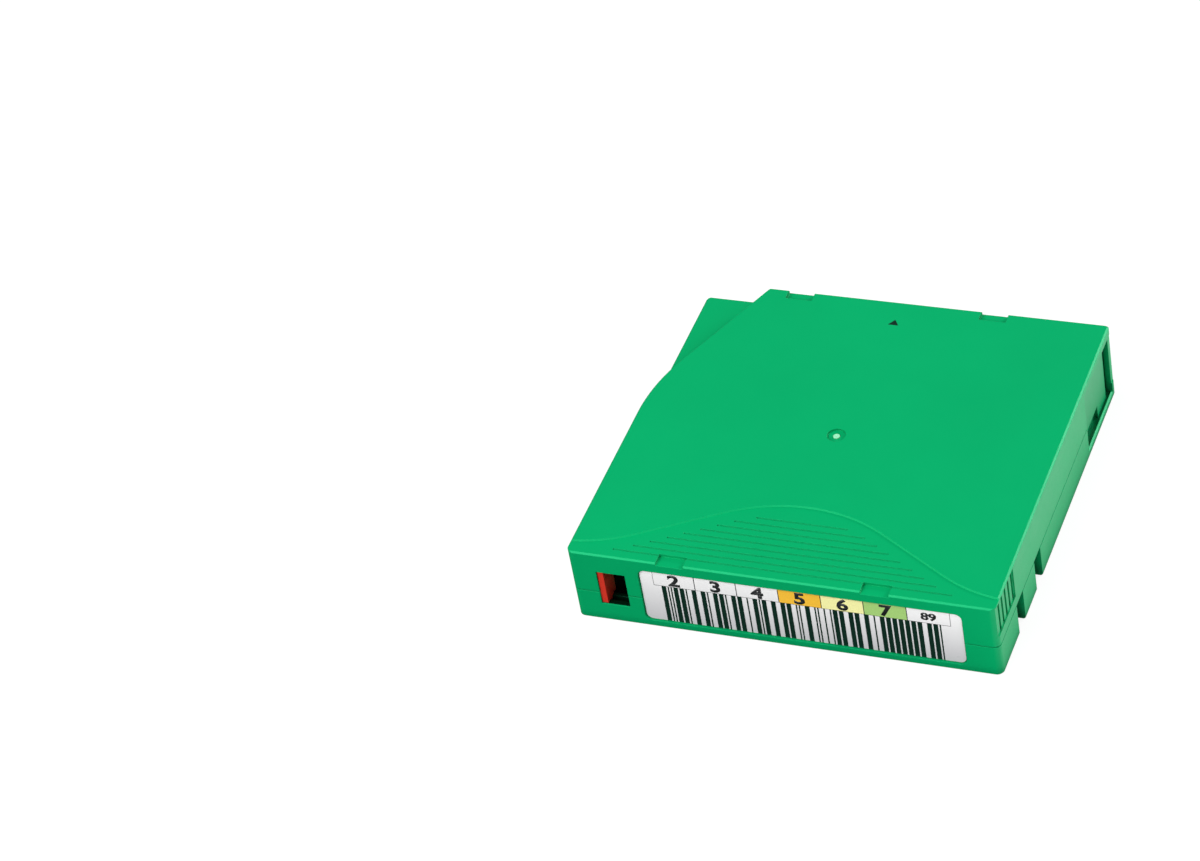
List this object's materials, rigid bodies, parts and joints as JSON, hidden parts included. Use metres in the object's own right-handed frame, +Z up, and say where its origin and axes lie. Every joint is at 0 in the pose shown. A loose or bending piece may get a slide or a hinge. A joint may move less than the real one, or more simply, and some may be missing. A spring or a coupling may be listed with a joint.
{
  "type": "data tape cartridge",
  "caption": "Flat single-reel data tape cartridge: a square case with a sliding tape door, a lockable reel of half-inch tape, a leader pin and a write-protect slider.",
  "frame": {"origin": "on the bottom face, under the middle of the case", "axes": "+X across the case towards the side with the tape door, +Y the way it goes into a drive (the label faces -Y), +Z up"},
  "size_m": [0.1054, 0.102, 0.0215],
  "materials": {
    "case_plastic": "moulded, fine satin, green",
    "door_plastic": "moulded, satin, green",
    "tab_plastic": "moulded, satin, red",
    "label_paper": "printed film label, white",
    "screw_steel": "zinc-plated steel",
    "spring_steel": "spring steel wire and strip",
    "pin_steel": "turned steel, polished",
    "hub_plastic": "moulded, natural white",
    "flange_plastic": "moulded, natural white",
    "brake_plastic": "moulded acetal, black",
    "release_plastic": "moulded acetal, natural",
    "clutch_steel": "pressed magnetic steel",
    "tape_film": "wound coated film, dark brown-grey",
    "clamp_plastic": "moulded, dark grey",
    "board_laminate": "glass-fibre board, dark green",
    "chip_plastic": "encapsulated chip, black"
  },
  "bodies": {
    "case": {"lower_case": "case_plastic", "upper_case": "case_plastic", "case_screws": "screw_steel", "brake_spring": "spring_steel", "door_spring": "spring_steel", "leader_pin": "pin_steel", "tape_leader": "tape_film", "pin_clamp": "clamp_plastic", "pin_retainer": "spring_steel", "memory_board": "board_laminate", "memory_chip": "chip_plastic", "label": "label_paper"},
    "reel": {"reel_hub": "hub_plastic", "upper_flange": "flange_plastic", "clutch_plate": "clutch_steel", "tape_pack": "tape_film"},
    "brake_button": {"brake_button": "brake_plastic"},
    "brake_release": {"brake_release": "release_plastic"},
    "door": {"door": "door_plastic"},
    "write_protect_tab": {"write_protect_tab": "tab_plastic"}
  },
  "joints": [
    {"name": "door_slide", "type": "slide", "parent": "case", "child": "door", "axis": [0, -1, 0], "range_m": [0, 0.0215], "stiffness_N_per_m": 30, "springref_m": -0.012, "deforming": ["door_spring"]},
    {"name": "reel_spin", "type": "hinge", "parent": "case", "child": "reel", "pos_m": [-0.0014, 0, 0], "axis": [0, 0, 1], "continuous": true},
    {"name": "brake_lift", "type": "slide", "parent": "case", "child": "brake_button", "axis": [0, 0, 1], "range_m": [0, 0.0018], "stiffness_N_per_m": 300, "springref_m": -0.006, "deforming": ["brake_spring"]},
    {"name": "release_lift", "type": "slide", "parent": "reel", "child": "brake_release", "axis": [0, 0, 1], "range_m": [0, 0.0018]},
    {"name": "write_protect_slide", "type": "slide", "parent": "case", "child": "write_protect_tab", "axis": [1, 0, 0], "range_m": [0, 0.00556]}
  ],
  "couplings": [
    {"joint": "release_lift", "follows": "brake_lift", "ratio": 1}
  ]
}
